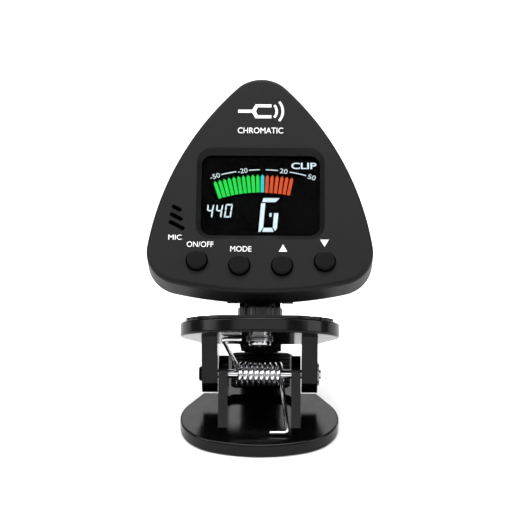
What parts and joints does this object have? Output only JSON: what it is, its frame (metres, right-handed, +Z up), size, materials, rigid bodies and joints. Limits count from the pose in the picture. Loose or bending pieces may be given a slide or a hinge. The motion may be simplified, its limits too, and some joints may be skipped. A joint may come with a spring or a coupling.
{
  "type": "clip-on tuner",
  "caption": "Clip-on instrument tuner: pick-shaped head with colour display and keys on a tilting swivel neck, on a sprung two-lever clip with rubber jaw pads.",
  "frame": {"origin": "centre of the footprint, on the plane the lower clip lever lies on", "axes": "+Z up, +X to the reader's right, +Y away from the reader towards the jaw tips; lower lever flat on z = 0"},
  "size_m": [0.0504, 0.0554, 0.0707],
  "materials": {
    "body_plastic": "fine matte moulded ABS, near black",
    "clip_plastic": "satin black moulded nylon",
    "neck_plastic": "semi-gloss black moulded acetal",
    "pad_rubber": "soft black rubber",
    "button_rubber": "matte black silicone keys",
    "spring_steel": "bright nickel-plated spring wire",
    "pin_steel": "plated steel",
    "screw_steel": "black-zinc steel screws",
    "window_acrylic": "clear hard-coated window, dark behind",
    "lcd_glass": "black negative colour display glass",
    "light_guide": "milky light guide",
    "zebra_rubber": "striped conductive rubber",
    "board_laminate": "green glass-epoxy board",
    "chip_epoxy": "black moulding compound",
    "switch_plastic": "black switch bodies",
    "plunger_plastic": "pale switch plungers",
    "mic_metal": "aluminium microphone can",
    "boot_rubber": "soft rubber boot",
    "piezo_brass": "brass disc with ceramic",
    "cell_steel": "stainless cell can",
    "contact_steel": "plated contact strip",
    "washer_fibre": "fibre friction washer"
  },
  "bodies": {
    "clip_base": {"lower_arm": "clip_plastic", "lower_jaw_pad": "pad_rubber", "pivot_pin": "pin_steel", "pin_star_washer": "pin_steel", "torsion_spring": "spring_steel"},
    "clip_lever": {"upper_arm": "clip_plastic", "upper_jaw_pad": "pad_rubber"},
    "swivel": {"swivel_neck": "neck_plastic", "grip_collar": "neck_plastic", "swivel_screw": "pin_steel", "swivel_washer": "pin_steel"},
    "head": {"front_housing": "body_plastic", "back_cover": "body_plastic", "display_window": "window_acrylic", "lcd_panel": "lcd_glass", "backlight_frame": "light_guide", "zebra_strip": "zebra_rubber", "circuit_board": "board_laminate", "controller_chip": "chip_epoxy", "switch_power": "switch_plastic", "switch_mode": "switch_plastic", "switch_up": "switch_plastic", "switch_down": "switch_plastic", "mic_capsule": "mic_metal", "mic_boot": "boot_rubber", "piezo_disc": "piezo_brass", "coin_cell": "cell_steel", "contact_positive": "contact_steel", "contact_negative": "contact_steel", "housing_screw_left": "screw_steel", "housing_screw_right": "screw_steel", "housing_screw_top": "screw_steel", "hinge_pin": "pin_steel", "hinge_washer_left": "washer_fibre", "hinge_washer_right": "washer_fibre"},
    "door": {"battery_door": "body_plastic"},
    "key_power": {"button_power": "button_rubber", "plunger_power": "plunger_plastic"},
    "key_mode": {"button_mode": "button_rubber", "plunger_mode": "plunger_plastic"},
    "key_up": {"button_up": "button_rubber", "plunger_up": "plunger_plastic"},
    "key_down": {"button_down": "button_rubber", "plunger_down": "plunger_plastic"}
  },
  "joints": [
    {"name": "clip_squeeze", "type": "hinge", "parent": "clip_base", "child": "clip_lever", "pos_m": [0, -0.00861, 0.0108], "axis": [1, 0, 0], "range_deg": [0, 40], "stiffness_Nm_per_rad": 0.25, "springref_deg": -28.65, "deforming": ["torsion_spring"]},
    {"name": "head_swivel", "type": "hinge", "parent": "clip_lever", "child": "swivel", "pos_m": [0, -0.00371, 0.02522], "axis": [0, 0.5592, 0.829], "continuous": true},
    {"name": "head_tilt", "type": "hinge", "parent": "swivel", "child": "head", "pos_m": [0, -0.00136, 0.02871], "axis": [-1, 0, 0], "range_deg": [-15, 60]},
    {"name": "door_turn", "type": "hinge", "parent": "head", "child": "door", "pos_m": [0, 0.01254, 0.04617], "axis": [0, 0.6884, -0.7254], "range_deg": [0, 35]},
    {"name": "press_power", "type": "slide", "parent": "head", "child": "key_power", "axis": [0, 0.6884, -0.7254], "range_m": [0, 0.0004], "stiffness_N_per_m": 800},
    {"name": "press_mode", "type": "slide", "parent": "head", "child": "key_mode", "axis": [0, 0.6884, -0.7254], "range_m": [0, 0.0004], "stiffness_N_per_m": 800},
    {"name": "press_up", "type": "slide", "parent": "head", "child": "key_up", "axis": [0, 0.6884, -0.7254], "range_m": [0, 0.0004], "stiffness_N_per_m": 800},
    {"name": "press_down", "type": "slide", "parent": "head", "child": "key_down", "axis": [0, 0.6884, -0.7254], "range_m": [0, 0.0004], "stiffness_N_per_m": 800}
  ]
}
